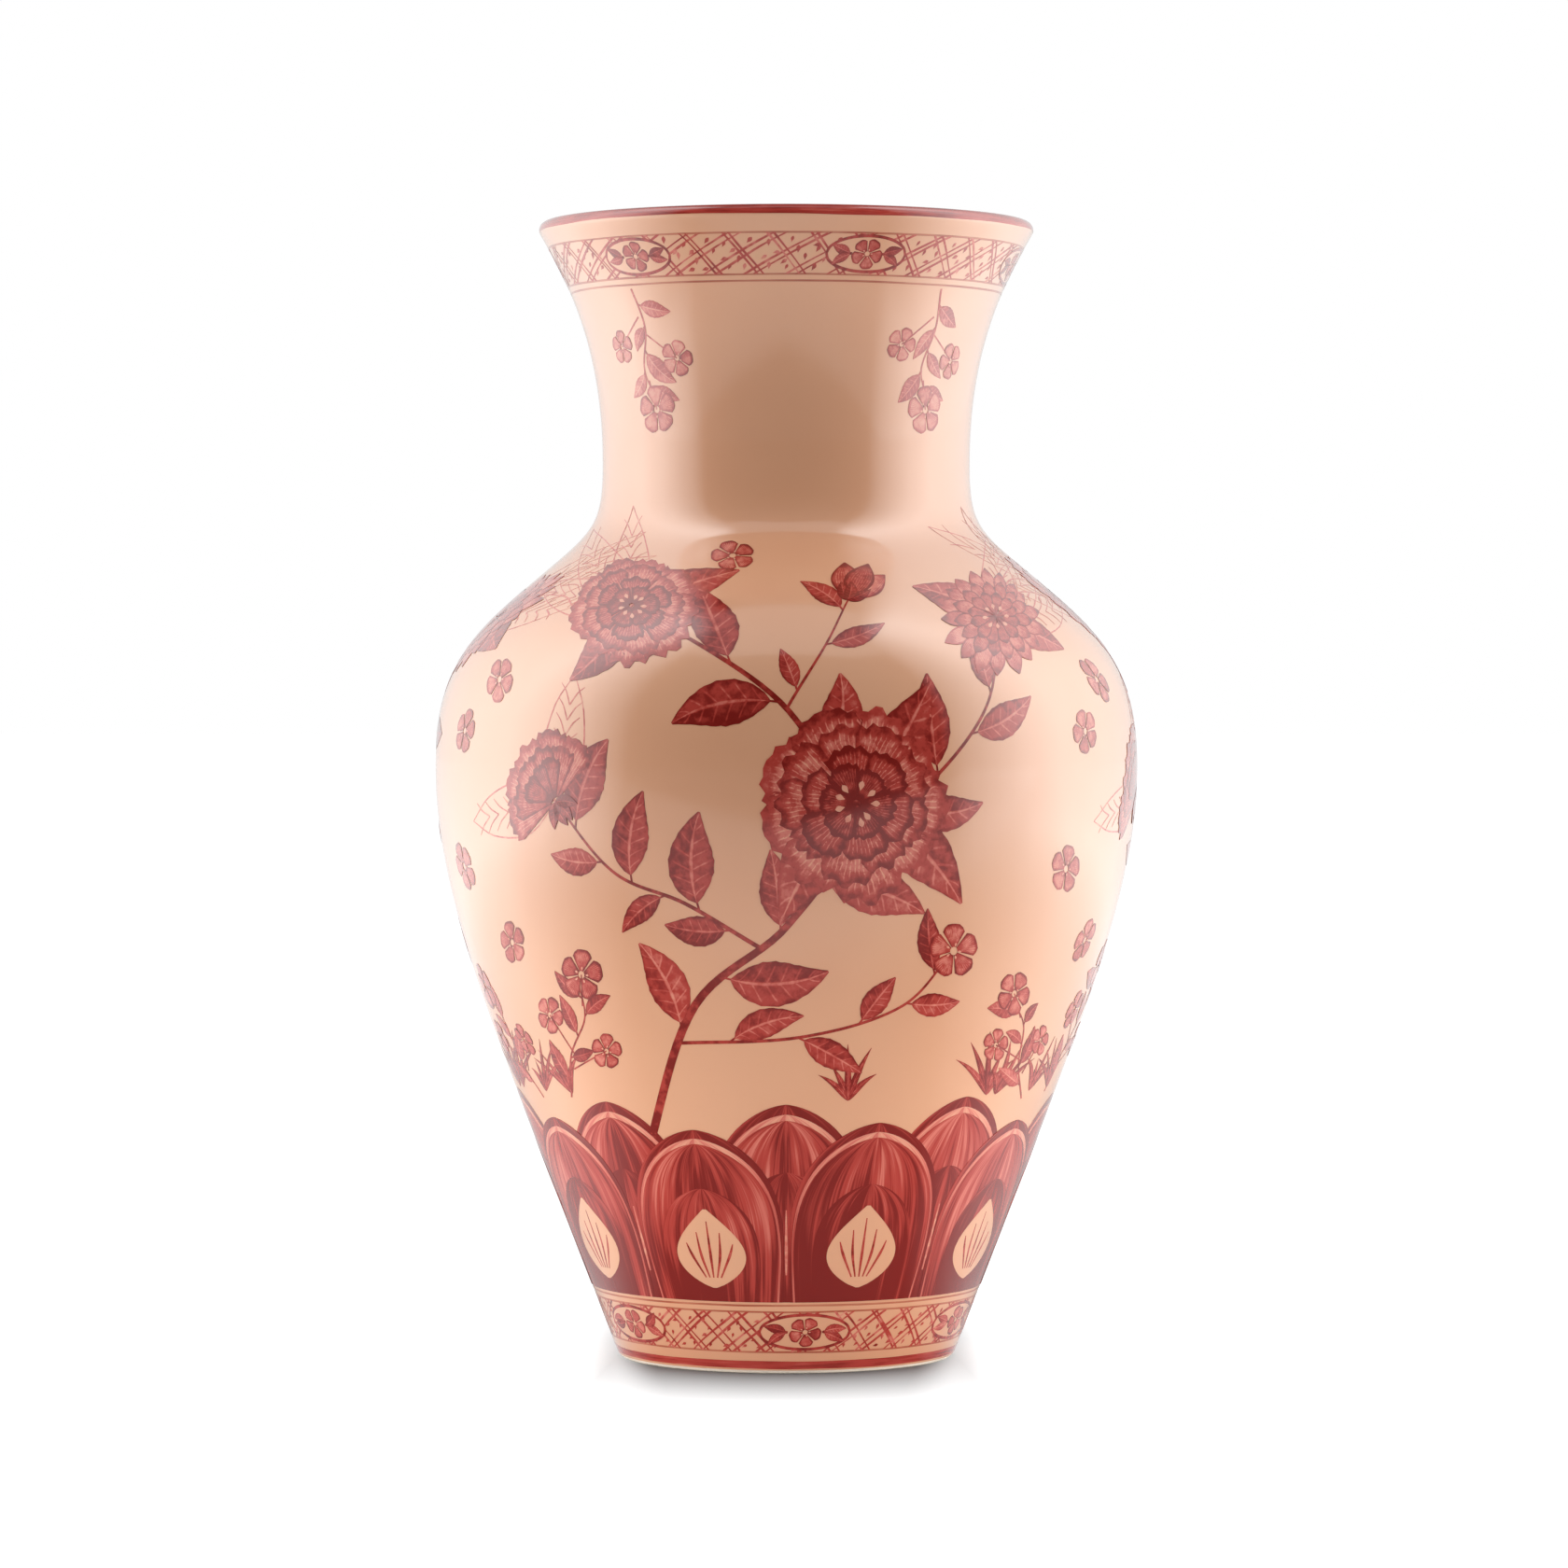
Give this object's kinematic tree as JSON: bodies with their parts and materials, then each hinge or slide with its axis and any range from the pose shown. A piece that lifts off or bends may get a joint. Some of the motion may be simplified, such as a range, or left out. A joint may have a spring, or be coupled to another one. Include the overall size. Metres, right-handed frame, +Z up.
{
  "type": "porcelain vase",
  "caption": "Tall baluster vase of glazed porcelain: tapered body on a recessed foot, full shoulder, waisted neck and flared mouth, for flowers or display.",
  "frame": {"origin": "centre of the circle that the vase stands on", "axes": "+Z up along the axis of the vase, -Y towards the camera of the picture"},
  "size_m": [0.189, 0.189, 0.3052],
  "materials": {
    "porcelain": "bare fired porcelain, fine and matt",
    "slip": "fired slip, matt",
    "ground_glaze": "glossy apricot ground glaze",
    "lining_glaze": "glossy white glaze",
    "enamel": "fired crimson enamel, glossy"
  },
  "bodies": {
    "root": {"foot_ring": "porcelain", "lower_body": "porcelain", "shoulder": "porcelain", "neck": "porcelain", "foot_slip_joint": "slip", "belly_slip_joint": "slip", "neck_slip_joint": "slip", "outer_glaze": "ground_glaze", "inner_glaze": "lining_glaze", "base_glaze": "lining_glaze", "rim_band": "enamel", "mouth_border_lines": "enamel", "foot_border_lines": "enamel", "foot_band": "enamel"}
  },
  "joints": []
}
